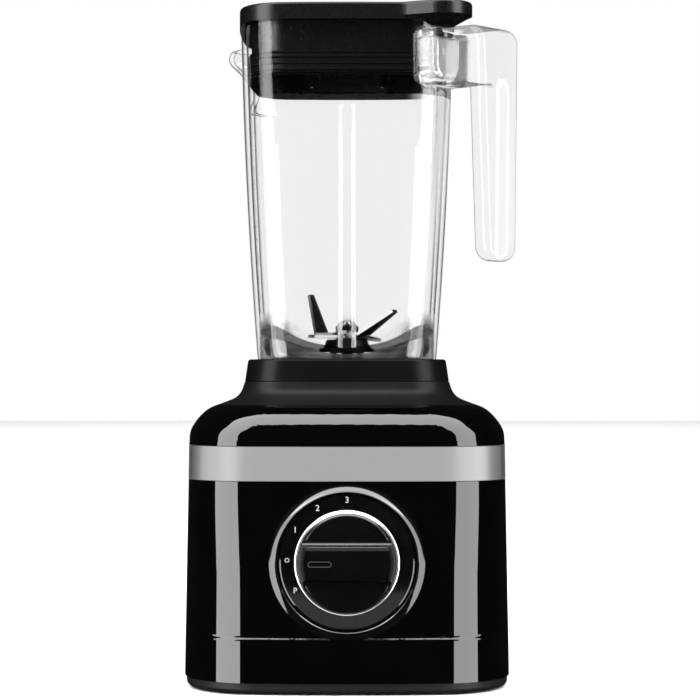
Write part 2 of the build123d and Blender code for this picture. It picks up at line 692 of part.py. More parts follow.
with BuildPart() as stator_spacers:
    for z0, z1 in ((40, STACK_Z[0]), (STACK_Z[1], 149)):
        with BuildSketch(Plane.XY.offset(z0)):
            with GridLocations(2 * TIE, 2 * TIE, 2, 2):
                Circle(4)
            with GridLocations(2 * TIE, 2 * TIE, 2, 2):
                Circle(2.1, mode=Mode.SUBTRACT)
        extrude(amount=z1 - z0)
stator_spacers.part.label = "stator_spacers"
export_step(stator_spacers.part, "parts/stator_spacers.step")

with BuildPart() as motor_dampers:
    with BuildSketch(Plane.XY.offset(153)):
        with GridLocations(2 * MOTOR_BOSS, 2 * MOTOR_BOSS, 2, 2):
            Circle(6.5)
        with GridLocations(2 * MOTOR_BOSS, 2 * MOTOR_BOSS, 2, 2):
            Circle(2.1, mode=Mode.SUBTRACT)
    extrude(amount=2)
motor_dampers.part.label = "motor_dampers"
export_step(motor_dampers.part, "parts/motor_dampers.step")

with BuildPart() as motor_screws:
    with BuildSketch(Plane.XY.offset(146.6)):
        with GridLocations(2 * MOTOR_BOSS, 2 * MOTOR_BOSS, 2, 2):
            Circle(3.8)
    extrude(amount=2.4)
    with BuildSketch(Plane.XY.offset(149)):
        with GridLocations(2 * MOTOR_BOSS, 2 * MOTOR_BOSS, 2, 2):
            Circle(1.9)
    extrude(amount=12.5)
motor_screws.part.label = "motor_screws"
export_step(motor_screws.part, "parts/motor_screws.step")

with BuildPart() as brush_holders:
    for side in (1, -1):
        with BuildSketch(Plane.XY.offset(40)):
            with Locations((side * 26, 0)):
                Rectangle(14, 13)
        extrude(amount=8)
        with BuildSketch(Plane.XY.offset(47)):
            with Locations((side * 24, 0)):
                Rectangle(22, 11)
        extrude(amount=14)
        with BuildSketch(Plane.XY.offset(49.5)):
            with Locations((side * 22, 0)):
                Rectangle(22, 6.2)
        extrude(amount=9, mode=Mode.SUBTRACT)
brush_holders.part.label = "brush_holders"
export_step(brush_holders.part, "parts/brush_holders.step")

with BuildPart() as carbon_brushes:
    with BuildSketch(Plane.XY.offset(49.6)):
        for side in (1, -1):
            with Locations((side * 18.1, 0)):
                Rectangle(14, 6)
        Circle(11.08, mode=Mode.SUBTRACT)
    extrude(amount=8.8)
carbon_brushes.part.label = "carbon_brushes"
export_step(carbon_brushes.part, "parts/carbon_brushes.step")

with BuildPart() as brush_springs:
    for side in (1, -1):
        for i in range(4):
            with BuildSketch(Plane(origin=(side * (25.5 + 2.1 * i), 0, 54), x_dir=(0, 1, 0), z_dir=(side, 0, 0))):
                Circle(2.6)
                Circle(1.9, mode=Mode.SUBTRACT)
            extrude(amount=0.7)
        for turn in (0, 180):
            y, z = 2.25 * math.cos(math.radians(turn)), 2.25 * math.sin(math.radians(turn))
            with BuildSketch(Plane(origin=(side * 25.5, y, 54 + z), x_dir=(0, 1, 0), z_dir=(side, 0, 0))):
                Circle(0.34)
            extrude(amount=7.0)
brush_springs.part.label = "brush_springs"
export_step(brush_springs.part, "parts/brush_springs.step")

# ---------------------------------------------------------------- jar
JAR_STEPS = (JAR_Z[0], 287.0, JAR_Z[1])
SPOUT = [(390.0, 90.3), (387.5, 93.0), (384.0, 93.2), (379.5, 89.0), (375.0, 83.0), (369.0, 76.5), (358.0, 70.0), (348.0, 66.0)]

with BuildPart() as spout_outside:
    loft([tongue(z, TO_SPOUT, 50, 20, s, 10) for z, s in SPOUT])

with BuildPart() as spout_inside:
    loft([tongue(z + 0.01 if z < 389 else 391.0, TO_SPOUT, 48, 19, s - (1.4 if z > 389 else 0), 7) for z, s in SPOUT])

with BuildPart() as above_bowl:
    centre = BOWL_Z + BOWL_RS
    with BuildSketch(Plane.XZ):
        with BuildLine():
            Polyline((BOWL_FLAT, BOWL_Z), (0, BOWL_Z), (0, 400), (120, 400), (120, centre - 7.75), (67.5, centre - 7.75))
            ThreePointArc((67.5, centre - 7.75), (BOWL_FLAT + 18.63, centre - 24.15), (BOWL_FLAT, BOWL_Z))
        make_face()
    revolve(axis=Axis.Z)

with BuildPart() as jar_cavity:
    loft([jar_outline(z, JAR_WALL) for z in (186.0, 288.0, 391.0)])
    add(spout_inside.part)
    add(above_bowl.part, mode=Mode.INTERSECT)

with BuildPart() as under_bowl:
    rs = BOWL_RS + BOWL_T
    with BuildSketch(Plane.XZ):
        with BuildLine():
            Polyline((BOWL_FLAT, BOWL_Z - BOWL_T), (0, BOWL_Z - BOWL_T), (0, 180), (120, 180), (120, centre - 5.0), (BOWL_FLAT + math.sqrt(rs**2 - 25), centre - 5.0))
            ThreePointArc(
                (BOWL_FLAT + math.sqrt(rs**2 - 25), centre - 5.0),
                (BOWL_FLAT + rs * math.cos(math.radians(50)), centre - rs * math.sin(math.radians(50))),
                (BOWL_FLAT, BOWL_Z - BOWL_T),
            )
        make_face()
    revolve(axis=Axis.Z)
    loft([jar_outline(z, JAR_WALL) for z in (180.0, 220.0, 260.0)], mode=Mode.INTERSECT)

with BuildPart() as flutes:
    for turn in (0, 90, 180, 270):
        c, s = math.cos(math.radians(turn)), math.sin(math.radians(turn))
        rings = []
        for z in (196.5, 267.0, RIB_TOP - RIB_R):
            d = jar_hw(z) - JAR_WALL + RIB_R - RIB_DEPTH
            with BuildSketch(Plane.XY.offset(z)) as ring:
                with Locations((d * c, d * s)):
                    Circle(RIB_R)
            rings.append(ring.sketch)
        loft(rings)
        with Locations((d * c, d * s, RIB_TOP - RIB_R)):
            Sphere(RIB_R)
    loft([jar_outline(z, 1.5) for z in (186.0, 288.0, 391.0)], mode=Mode.INTERSECT)

def out(e):
    """Distance of an edge's middle from the axis along the handle's plane, and sideways from that plane."""
    c = e.center(CenterOf.BOUNDING_BOX)
    return (c.X - c.Y) * HALF, abs(c.X + c.Y) * HALF, c.Z


with BuildPart() as handle:
    with BuildSketch(HANDLE) as side_view:
        with BuildLine():
            Polyline(
                (60, ARM_Z[1] + 1.2), (GRIP_OUT[0], ARM_Z[1] - 1.4), (GRIP_OUT[1], GRIP_BOTTOM), (GRIP_IN[1], GRIP_BOTTOM),
                (GRIP_IN[0], ARM_Z[0]), (60, ARM_Z[0]), (60, ARM_Z[1] + 1.2),
            )
        make_face()
        fillet(side_view.vertices().sort_by_distance((GRIP_OUT[0], ARM_Z[1]))[0], 10.5)
        fillet(side_view.vertices().sort_by_distance((GRIP_IN[0], ARM_Z[0]))[0], 7.0)
    extrude(amount=25, both=True)
    # the grip narrows towards its rounded end
    with BuildSketch(Plane(origin=(0, 0, 0), x_dir=(HALF, HALF, 0), z_dir=(HALF, -HALF, 0))) as front_view:
        slope = (GRIP_W[0] - GRIP_W[1]) / 2 / (365 - GRIP_BOTTOM)
        wide = GRIP_W[1] / 2 + slope * (400 - GRIP_BOTTOM)
        with BuildLine():
            Polyline((-wide, 400), (-GRIP_W[1] / 2, GRIP_BOTTOM), (GRIP_W[1] / 2, GRIP_BOTTOM), (wide, 400), (-wide, 400))
        make_face()
        fillet(front_view.vertices().group_by(Axis.Y)[0], 9)
    extrude(amount=140, mode=Mode.INTERSECT)
    # rounder on the inside of the hook than on the outside; the seams in the middle of the faces are left alone
    long_edges = [e for e in handle.edges() if out(e)[0] > 61 and (abs(out(e)[1]) > 7 or out(e)[2] < 248)]
    fillet([e for e in long_edges if out(e)[0] < 115 and out(e)[2] < 366], 6.3)
    long_edges = [e for e in handle.edges() if out(e)[0] > 61 and (abs(out(e)[1]) > 7 or out(e)[2] < 248)]
    fillet([e for e in long_edges if out(e)[0] > 124 or out(e)[2] > 376], 4.0)

with BuildPart() as handle_pocket:
    with BuildSketch(Plane(origin=(0, 0, 0), x_dir=(HALF, HALF, 0), z_dir=(HALF, -HALF, 0)).offset(50)) as pocket_view:
        with BuildLine():
            Polyline((-11.2, 380.5), (-10.8, 355), (10.8, 355), (11.2, 380.5), (-11.2, 380.5))
        make_face()
        fillet(pocket_view.vertices().group_by(Axis.Y)[0], 9)
        fillet(pocket_view.vertices().group_by(Axis.Y)[-1], 3)
    extrude(amount=34)
    fillet([e for e in handle_pocket.edges() if out(e)[0] > 83.9], 3)

with BuildPart() as jar:
    loft([jar_outline(z) for z in JAR_STEPS])
    add(spout_outside.part)
    add(handle.part)
    fillet([e for e in jar.edges() if 66 < out(e)[0] < 83 and 345 < out(e)[2] < 388.5 and e.center().X > 0 and e.center().Y < 0], 2.5)
    add(handle_pocket.part, mode=Mode.SUBTRACT)
    add(jar_cavity.part, mode=Mode.SUBTRACT)
    add(under_bowl.part, mode=Mode.SUBTRACT)
    add(flutes.part)
    add(under_bowl.part, mode=Mode.SUBTRACT)
    # hole for the blade bearing
    with BuildSketch(Plane.XY.offset(180)):
        Circle(10.8)
    extrude(amount=30, mode=Mode.SUBTRACT)
jar.part.label = "jar"
export_step(jar.part, "parts/jar.step")

with BuildPart() as jar_collar:
    loft([bowed(SEAT_Z, 61.5, 61.6, 25.3, NECK_BOW), bowed(SEAT_Z + 0.4, 61.95, 62.05, 25.6, NECK_BOW), bowed(191.3, 60.0, 60.1, 24.5, NECK_BOW)], ruled=True)
    fillet(jar_collar.faces().sort_by(Axis.Z)[-1].edges(), 1.5)
    # slot for the jar's skirt
    loft([jar_outline(JAR_Z[0], -0.25), jar_outline(192.5, -0.25)], ruled=True, mode=Mode.SUBTRACT)
    extrude(bowed(JAR_Z[0], 50.7, 50.7, 20.6, NECK_BOW), amount=5.5)
    # hollow that drops over the neck's boss
    extrude(bowed(SEAT_Z, BOSS_HW + 1, BOSS_HW + 1, 19, NECK_BOW), amount=9, mode=Mode.SUBTRACT)
    with BuildSketch(Plane.XY.offset(187)):
        Circle(24)
    extrude(amount=3.0)
    with BuildSketch(Plane.XY.offset(180)):
        Circle(10.55)
    extrude(amount=20, mode=Mode.SUBTRACT)
jar_collar.part.label = "jar_collar"
export_step(jar_collar.part, "parts/jar_collar.step")

with BuildPart() as jar_gasket:
    with BuildSketch(Plane.XY.offset(190)):
        Circle(22)
        Circle(12, mode=Mode.SUBTRACT)
    extrude(amount=1.5)
jar_gasket.part.label = "jar_gasket"
export_step(jar_gasket.part, "parts/jar_gasket.step")

with BuildPart() as blade_bearing:
    with BuildSketch(Plane.XY.offset(186.2)):
        Circle(10.5)
    extrude(amount=BOWL_Z - 186.2)
    with BuildSketch(Plane.XY.offset(BOWL_Z)):
        Circle(16.8)
    extrude(amount=3.0)
    fillet(blade_bearing.faces().sort_by(Axis.Z)[-1].edges(), 1.2)
    # hub that rises to just under the blades
    with Locations((0, 0, 200.9)):
        Cone(14.6, 12.6, 5.6)
    fillet(blade_bearing.faces().sort_by(Axis.Z)[-1].edges(), 1.0)
    with BuildSketch(Plane.XY.offset(180)):
        Circle(SHAFT_R + FIT)
    extrude(amount=30, mode=Mode.SUBTRACT)
    with BuildSketch(Plane.XY.offset(195.0)):
        Circle(8)
    extrude(amount=10, mode=Mode.SUBTRACT)
blade_bearing.part.label = "blade_bearing"
export_step(blade_bearing.part, "parts/blade_bearing.step")

with BuildPart() as shaft_seal:
    with BuildSketch(Plane.XY.offset(195.0)):
        Circle(8 - FIT)
        Circle(SHAFT_R + 0.05, mode=Mode.SUBTRACT)
    extrude(amount=3.4)
shaft_seal.part.label = "shaft_seal"
export_step(shaft_seal.part, "parts/shaft_seal.step")

# ---------------------------------------------------------------- blades and their drive
with BuildPart() as blade_shaft:
    with BuildSketch(Plane.XY.offset(183.4)):
        Circle(SHAFT_R)
    extrude(amount=212 - 183.4)
    chamfer(blade_shaft.edges().filter_by(GeomType.CIRCLE), 0.4)
blade_shaft.part.label = "blade_shaft"
export_step(blade_shaft.part, "parts/blade_shaft.step")

with BuildPart() as jar_coupling:
    with BuildSketch(Plane.XY.offset(178.8)):
        Circle(17)
    extrude(amount=6.8)
    with BuildSketch(Plane.XY.offset(178.0)):
        Circle(10.5)
        with PolarLocations(10.3, 6):
            Circle(3.5)
    extrude(amount=5.4, mode=Mode.SUBTRACT)
    with BuildSketch(Plane.XY.offset(178.0)):
        Circle(SHAFT_R + FIT)
    extrude(amount=20, mode=Mode.SUBTRACT)
jar_coupling.part.label = "jar_coupling"
export_step(jar_coupling.part, "parts/jar_coupling.step")

with BuildPart() as blade_spacer:
    with BuildSketch(Plane.XY.offset(198.9)):
        Circle(7)
        Circle(SHAFT_R + FIT, mode=Mode.SUBTRACT)
    extrude(amount=BLADE_Z - 198.9)
blade_spacer.part.label = "blade_spacer"
export_step(blade_spacer.part, "parts/blade_spacer.step")

BLADE_T = 1.8


def blade_sections(turn, z0, stations):
    """Cross-sections of one blade arm: (distance, height above z0, direction in degrees, width), along a bent centre line."""
    c, s = math.cos(math.radians(turn)), math.sin(math.radians(turn))
    out_list = []
    for d, h, lean, width, thick in stations:
        n = Vector(math.cos(math.radians(lean)) * c, math.cos(math.radians(lean)) * s, math.sin(math.radians(lean)))
        with BuildSketch(Plane(origin=(d * c, d * s, z0 + h), x_dir=(-s, c, 0), z_dir=n)) as sk:
            Rectangle(width, thick)
        out_list.append(sk.sketch)
    return out_list


with BuildPart() as blade_upper:
    Z_MID = BLADE_Z + 1.5 * BLADE_T
    with BuildSketch(Plane.XY.offset(BLADE_Z + BLADE_T)):
        Circle(9)
    extrude(amount=BLADE_T)
    loft(blade_sections(146, Z_MID, [(3, 0, 0, 15, BLADE_T), (19.0, 0, 36, 13.5, BLADE_T / math.cos(math.radians(36))), (27.2, 24.5, 72, 4.5, BLADE_T)]), ruled=True)
    loft(blade_sections(-34, Z_MID, [(3, 0, 0, 15, BLADE_T), (12.3, 0, 15, 13.5, BLADE_T / math.cos(math.radians(15))), (34.8, 13.6, 31, 5, BLADE_T)]), ruled=True)
    with BuildSketch(Plane.XY.offset(190)):
        Circle(SHAFT_R + FIT)
    extrude(amount=40, mode=Mode.SUBTRACT)
blade_upper.part.label = "blade_upper"
export_step(blade_upper.part, "parts/blade_upper.step")

with BuildPart() as blade_lower:
    Z_LOW = BLADE_Z + 0.5 * BLADE_T
    with BuildSketch(Plane.XY.offset(BLADE_Z)):
        Circle(9)
    extrude(amount=BLADE_T)
    loft(blade_sections(222, Z_LOW, [(3, 0, 0, 15, BLADE_T), (12, 0, 0, 13.5, BLADE_T), (29, 0, 0, 6, BLADE_T)]), ruled=True)
    loft(blade_sections(42, Z_LOW, [(3, 0, 0, 15, BLADE_T), (12, 0, -4, 13.5, BLADE_T / math.cos(math.radians(4))), (26.5, -1.6, -7, 5, BLADE_T)]), ruled=True)
    with BuildSketch(Plane.XY.offset(190)):
        Circle(SHAFT_R + FIT)
    extrude(amount=40, mode=Mode.SUBTRACT)
blade_lower.part.label = "blade_lower"
export_step(blade_lower.part, "parts/blade_lower.step")

with BuildPart() as blade_nut:
    with BuildSketch(Plane.XY.offset(BLADE_Z + 2 * BLADE_T)):
        RegularPolygon(7, 6)
    extrude(amount=4)
    with BuildSketch(Plane.XY.offset(BLADE_Z + 2 * BLADE_T + 4)):
        Circle(5.6)
    extrude(amount=2.6)
    fillet(blade_nut.faces().sort_by(Axis.Z)[-1].edges(), 2.2)
    with BuildSketch(Plane.XY.offset(200)):
        Circle(SHAFT_R + FIT)
    extrude(amount=12.2, mode=Mode.SUBTRACT)
blade_nut.part.label = "blade_nut"
export_step(blade_nut.part, "parts/blade_nut.step")

# ---------------------------------------------------------------- lid and fill cap
CHUTE_OUT = (52.0, 42.0, 35.0)
CHUTE_IN = (47.6, 37.6, 33.0)
CUP_OUT = (46.6, 36.6, 32.5)
CUP_IN = (42.8, 32.8, 30.0)
FLANGE = (58.0, 48.0, 37.0)

with BuildPart() as tab_root:
    # the finger tab's underside slopes down towards the jar
    loft([tongue(386.8, TO_HANDLE, 60, 9, 78, 8), tongue(392.4, TO_HANDLE, 50, 27.8, TAB_TIP - TAB_R - 0.1, TAB_R - 0.2)], ruled=True)
    loft([jar_outline(380, -1.6), jar_outline(JAR_Z[1], -1.6)], ruled=True, mode=Mode.SUBTRACT)

with BuildPart() as lid:
    extrude(bowed(LID_Z[0], LID_HW, LID_HW, LID_R, NECK_BOW), amount=LID_Z[1] - LID_Z[0])
    # finger tab above the handle, blended into the lid's edge
    extrude(tongue(392.2, TO_HANDLE, 50, 28, TAB_TIP - TAB_R, TAB_R), amount=LID_Z[1] - 392.2)
    corners = lid.edges().filter_by(Axis.Z).filter_by(lambda e: 392 < e.center().Z < 399 and 20 < out(e)[1] < 40 and out(e)[0] > 55)
    fillet(corners, 16)
    add(tab_root.part)
    fillet(lid.faces().sort_by(Axis.Z)[-1].edges(), 1.8)
    # hollow plug and fill chute
    extrude(bowed(PLUG_BOTTOM, PLUG_HW, PLUG_HW, PLUG_R, NECK_BOW), amount=LID_Z[0] - PLUG_BOTTOM)
    extrude(bowed(PLUG_BOTTOM, PLUG_HW - 2.5, PLUG_HW - 2.5, PLUG_R - 2.5, NECK_BOW), amount=393.4 - PLUG_BOTTOM, mode=Mode.SUBTRACT)
    extrude(bulged(357.0, *CHUTE_OUT), amount=394.0 - 357.0)
    extrude(bulged(356.0, *CHUTE_IN), amount=50, mode=Mode.SUBTRACT)
    extrude(bulged(396.0, *FLANGE), amount=10, mode=Mode.SUBTRACT)
lid.part.label = "lid"
export_step(lid.part, "parts/lid.step")

with BuildPart() as lid_seal:
    extrude(bowed(360.0, PLUG_HW + 1.2, PLUG_HW + 1.2, PLUG_R + 1.2, NECK_BOW), amount=12.6)
    for z in (360.6, 364.3, 368.0, 370.9):
        loft([bowed(z, PLUG_HW + 1.2, PLUG_HW + 1.2, PLUG_R + 1.2, NECK_BOW), bowed(z + 0.6, PLUG_HW + 2.2, PLUG_HW + 2.2, PLUG_R + 2.2, NECK_BOW)], ruled=True)
        loft([bowed(z + 0.6, PLUG_HW + 2.2, PLUG_HW + 2.2, PLUG_R + 2.2, NECK_BOW), bowed(z + 1.2, PLUG_HW + 1.2, PLUG_HW + 1.2, PLUG_R + 1.2, NECK_BOW)], ruled=True)
    extrude(bowed(359.0, PLUG_HW + 0.02, PLUG_HW + 0.02, PLUG_R + 0.02, NECK_BOW), amount=20, mode=Mode.SUBTRACT)
lid_seal.part.label = "lid_seal"
export_step(lid_seal.part, "parts/lid_seal.step")

with BuildPart() as fill_cap:
    extrude(bulged(396.3, FLANGE[0] - 0.8, FLANGE[1] - 0.8, FLANGE[2] - 0.5), amount=3.7)
    fillet(fill_cap.faces().sort_by(Axis.Z)[-1].edges(), 1.0)
    extrude(bulged(358.5, *CUP_OUT), amount=396.3 - 358.5)
    extrude(bulged(350.0, *CUP_IN), amount=396.8 - 350.0, mode=Mode.SUBTRACT)
    # shallow dish in the top for the fingertips
    with BuildSketch(Plane.XY.offset(398.8)) as dish:
        SlotOverall(34, 22)
    extrude(amount=5, mode=Mode.SUBTRACT)
    with BuildSketch(Plane.XY.offset(398.8)):
        SlotOverall(30, 5)
    extrude(amount=1.2)
fill_cap.part.label = "fill_cap"
export_step(fill_cap.part, "parts/fill_cap.step")
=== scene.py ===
import math

import bmesh
import bpy
from mathutils import Matrix, Vector


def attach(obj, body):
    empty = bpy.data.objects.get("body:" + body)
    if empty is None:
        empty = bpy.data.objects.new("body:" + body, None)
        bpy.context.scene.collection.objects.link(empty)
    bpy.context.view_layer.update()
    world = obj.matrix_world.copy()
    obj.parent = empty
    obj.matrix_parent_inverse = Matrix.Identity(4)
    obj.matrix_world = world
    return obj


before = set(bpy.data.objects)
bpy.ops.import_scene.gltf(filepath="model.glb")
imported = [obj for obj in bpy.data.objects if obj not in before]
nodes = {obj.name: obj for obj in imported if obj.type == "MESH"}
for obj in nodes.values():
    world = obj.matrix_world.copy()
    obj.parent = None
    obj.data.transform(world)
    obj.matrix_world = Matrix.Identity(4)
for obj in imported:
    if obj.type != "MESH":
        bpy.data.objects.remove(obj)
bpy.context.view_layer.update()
scene = bpy.context.scene


# ---------------------------------------------------------------- materials
def material(name):
    """A node material with one principled shader; returns the material, its shader and its object coordinates."""
    m = bpy.data.materials.new(name)
    m.use_nodes = True
    nt = m.node_tree
    nt.nodes.clear()
    out = nt.nodes.new("ShaderNodeOutputMaterial")
    bsdf = nt.nodes.new("ShaderNodeBsdfPrincipled")
    nt.links.new(bsdf.outputs["BSDF"], out.inputs["Surface"])
    coord = nt.nodes.new("ShaderNodeTexCoord")
    return m, nt, bsdf, coord.outputs["Object"]


def noise(nt, vector, scale, detail=3.0, rough=0.5, stretch=None):
    """Noise value at a scale given in cycles per metre, stretched along the axes if asked."""
    if stretch is not None:
        mapping = nt.nodes.new("ShaderNodeMapping")
        mapping.inputs["Scale"].default_value = stretch
        nt.links.new(vector, mapping.inputs["Vector"])
        vector = mapping.outputs["Vector"]
    n = nt.nodes.new("ShaderNodeTexNoise")
    n.inputs["Scale"].default_value = scale
    n.inputs["Detail"].default_value = detail
    n.inputs["Roughness"].default_value = rough
    nt.links.new(vector, n.inputs["Vector"])
    return n.outputs["Fac"]


def spread(nt, value, low, high, lo_in=0.3, hi_in=0.7):
    """Maps a noise value to a range."""
    r = nt.nodes.new("ShaderNodeMapRange")
    r.inputs["From Min"].default_value = lo_in
    r.inputs["From Max"].default_value = hi_in
    r.inputs["To Min"].default_value = low
    r.inputs["To Max"].default_value = high
    nt.links.new(value, r.inputs["Value"])
    return r.outputs["Result"]


def shades(nt, value, a, b):
    """Colour between a and b by a noise value."""
    ramp = nt.nodes.new("ShaderNodeValToRGB")
    ramp.color_ramp.elements[0].position = 0.3
    ramp.color_ramp.elements[1].position = 0.7
    ramp.color_ramp.elements[0].color = (*a, 1)
    ramp.color_ramp.elements[1].color = (*b, 1)
    nt.links.new(value, ramp.inputs["Fac"])
    return ramp.outputs["Color"]


def bump(nt, bsdf, height, strength, distance):
    """Adds a bump of that height map; distance in metres."""
    b = nt.nodes.new("ShaderNodeBump")
    b.inputs["Strength"].default_value = strength
    b.inputs["Distance"].default_value = distance
    nt.links.new(height, b.inputs["Height"])
    nt.links.new(b.outputs["Normal"], bsdf.inputs["Normal"])


def plastic(name, a, b, rough, grain=None, grain_strength=0.2, grain_depth=0.00003, patch=60.0, specular=0.5, coat=0.0, coat_rough=0.03, dull_below=None):
    """Moulded plastic: slight colour and gloss drift, an optional fine texture, and dull below a height if one is given."""
    m, nt, bsdf, co = material(name)
    drift = noise(nt, co, patch, 4.0, 0.6)
    nt.links.new(shades(nt, drift, a, b), bsdf.inputs["Base Color"])
    fine = noise(nt, co, patch * 9, 3.0, 0.6)
    nt.links.new(spread(nt, fine, rough[0], rough[1]), bsdf.inputs["Roughness"])
    bsdf.inputs["Specular IOR Level"].default_value = specular
    if dull_below:
        split = nt.nodes.new("ShaderNodeSeparateXYZ")
        nt.links.new(co, split.inputs["Vector"])
        nt.links.new(spread(nt, split.outputs["Z"], 0.01, specular, *dull_below), bsdf.inputs["Specular IOR Level"])
    bsdf.inputs["Coat Weight"].default_value = coat
    bsdf.inputs["Coat Roughness"].default_value = coat_rough
    if grain:
        bump(nt, bsdf, noise(nt, co, grain, 2.0, 0.5), grain_strength, grain_depth)
    return m


def metal(name, a, b, rough, brushed=None, brush_scale=900.0, strength=0.15, depth=0.00002, metallic=1.0):
    """Metal with fine scratches along one axis if brushed gives the stretch of the noise."""
    m, nt, bsdf, co = material(name)
    bsdf.inputs["Metallic"].default_value = metallic
    lines = noise(nt, co, brush_scale, 4.0, 0.65, brushed)
    nt.links.new(shades(nt, lines, a, b), bsdf.inputs["Base Color"])
    nt.links.new(spread(nt, lines, rough[0], rough[1]), bsdf.inputs["Roughness"])
    if strength:
        bump(nt, bsdf, lines, strength, depth)
    return m


def math_node(nt, operation, a, b=None):
    """A math node on two values; numbers are set on the node itself."""
    n = nt.nodes.new("ShaderNodeMath")
    n.operation = operation
    for socket, value in zip(n.inputs, (a, b)):
        if value is None:
            continue
        if isinstance(value, (int, float)):
            socket.default_value = value
        else:
            nt.links.new(value, socket)
    return n.outputs["Value"]


def knob_plastic(name):
    """Black plastic, satin on the disc and polished on the bar that stands out from it, with a plated edge next to the ring."""
    m, nt, bsdf, co = material(name)
    drift = noise(nt, co, 60.0, 4.0, 0.6)
    split = nt.nodes.new("ShaderNodeSeparateXYZ")
    nt.links.new(co, split.inputs["Vector"])
    satin = spread(nt, split.outputs["Y"], 0.05, 0.17, -0.1125, -0.1070)
    centre = nt.nodes.new("ShaderNodeVectorMath")
    centre.operation = "SUBTRACT"
    centre.inputs[1].default_value = (0.0, 0.0, 0.0755)
    nt.links.new(co, centre.inputs[0])
    flat = nt.nodes.new("ShaderNodeVectorMath")
    flat.operation = "MULTIPLY"
    flat.inputs[1].default_value = (1.0, 0.0, 1.0)
    nt.links.new(centre.outputs["Vector"], flat.inputs[0])
    radius = nt.nodes.new("ShaderNodeVectorMath")
    radius.operation = "LENGTH"
    nt.links.new(flat.outputs["Vector"], radius.inputs[0])
    plated = spread(nt, radius.outputs["Value"], 0.0, 1.0, 0.02835, 0.02845)
    nt.links.new(plated, bsdf.inputs["Metallic"])
    skin = nt.nodes.new("ShaderNodeMix")
    skin.data_type = "RGBA"
    nt.links.new(plated, skin.inputs["Factor"])
    nt.links.new(shades(nt, drift, (0.0012, 0.0012, 0.0013), (0.0018, 0.0018, 0.0019)), skin.inputs["A"])
    nt.links.new(shades(nt, drift, (0.80, 0.81, 0.82), (0.86, 0.87, 0.88)), skin.inputs["B"])
    nt.links.new(skin.outputs["Result"], bsdf.inputs["Base Color"])
    add = nt.nodes.new("ShaderNodeMath")
    nt.links.new(satin, add.inputs[0])
    nt.links.new(spread(nt, noise(nt, co, 540.0, 3.0, 0.6), 0.0, 0.05), add.inputs[1])
    nt.links.new(add.outputs["Value"], bsdf.inputs["Roughness"])
    # the bar's bevels and ends are duller than its face
    bevel = math_node(nt, "MULTIPLY", spread(nt, split.outputs["Y"], 0.0, 1.0, -0.11265, -0.11240), spread(nt, split.outputs["Y"], 1.0, 0.0, -0.11105, -0.11085))
    ends = math_node(nt, "MULTIPLY", spread(nt, radius.outputs["Value"], 0.0, 1.0, 0.0243, 0.0246), spread(nt, split.outputs["Y"], 1.0, 0.0, -0.1096, -0.1092))
    nt.links.new(spread(nt, math_node(nt, "MAXIMUM", bevel, ends), 0.5, 0.05, 0.0, 1.0), bsdf.inputs["Specular IOR Level"])
    bump(nt, bsdf, noise(nt, co, 3000.0, 2.0, 0.5), 0.04, 0.00003)
    return m


GLOSS_BLACK = plastic("gloss_black", (0.0005, 0.0005, 0.00055), (0.0008, 0.0008, 0.00085), (0.008, 0.022), patch=25.0)
DIAL_BLACK = plastic("dial_black", (0.0012, 0.0012, 0.0013), (0.0020, 0.0020, 0.0021), (0.04, 0.07), patch=70.0)
MATT_BLACK = plastic("matt_black", (0.0030, 0.0030, 0.0032), (0.0042, 0.0042, 0.0044), (0.38, 0.46), grain=2600.0, grain_strength=0.18, specular=0.12)
COLLAR_BLACK = plastic("collar_black", (0.0020, 0.0020, 0.0021), (0.0028, 0.0028, 0.0029), (0.30, 0.36), grain=2600.0, grain_strength=0.12, specular=0.1)
KNOB_BLACK = knob_plastic("knob_black")
LID_BLACK = plastic("lid_black", (0.0020, 0.0020, 0.0022), (0.0028, 0.0028, 0.0030), (0.26, 0.32), grain=2400.0, grain_strength=0.1, specular=0.3, dull_below=(0.3612, 0.3640))
CAP_BLACK = plastic("cap_black", (0.0020, 0.0020, 0.0022), (0.0028, 0.0028, 0.0030), (0.05, 0.09), grain=2400.0, grain_strength=0.02)
DARK_GREY = plastic("dark_grey", (0.006, 0.006, 0.0064), (0.008, 0.008, 0.0085), (0.46, 0.54), grain=2200.0, grain_strength=0.25, specular=0.2)
RUBBER = plastic("rubber", (0.0014, 0.0014, 0.0014), (0.0022, 0.0022, 0.0022), (0.4, 0.5), grain=1800.0, grain_strength=0.2, specular=0.15)
PHENOLIC = plastic("phenolic", (0.10, 0.055, 0.03), (0.16, 0.09, 0.05), (0.4, 0.55), grain=900.0)
CARBON = plastic("carbon", (0.02, 0.02, 0.02), (0.05, 0.05, 0.05), (0.5, 0.65), grain=3000.0, grain_strength=0.4)
BOARD = plastic("board_green", (0.012, 0.085, 0.035), (0.022, 0.12, 0.05), (0.25, 0.4), patch=300.0)
RIM_PRINT = plastic("pointer_print", (0.035, 0.035, 0.035), (0.055, 0.055, 0.055), (0.4, 0.5), patch=900.0)
PRINT = plastic("dial_print", (0.34, 0.34, 0.34), (0.42, 0.42, 0.42), (0.45, 0.55), patch=900.0)

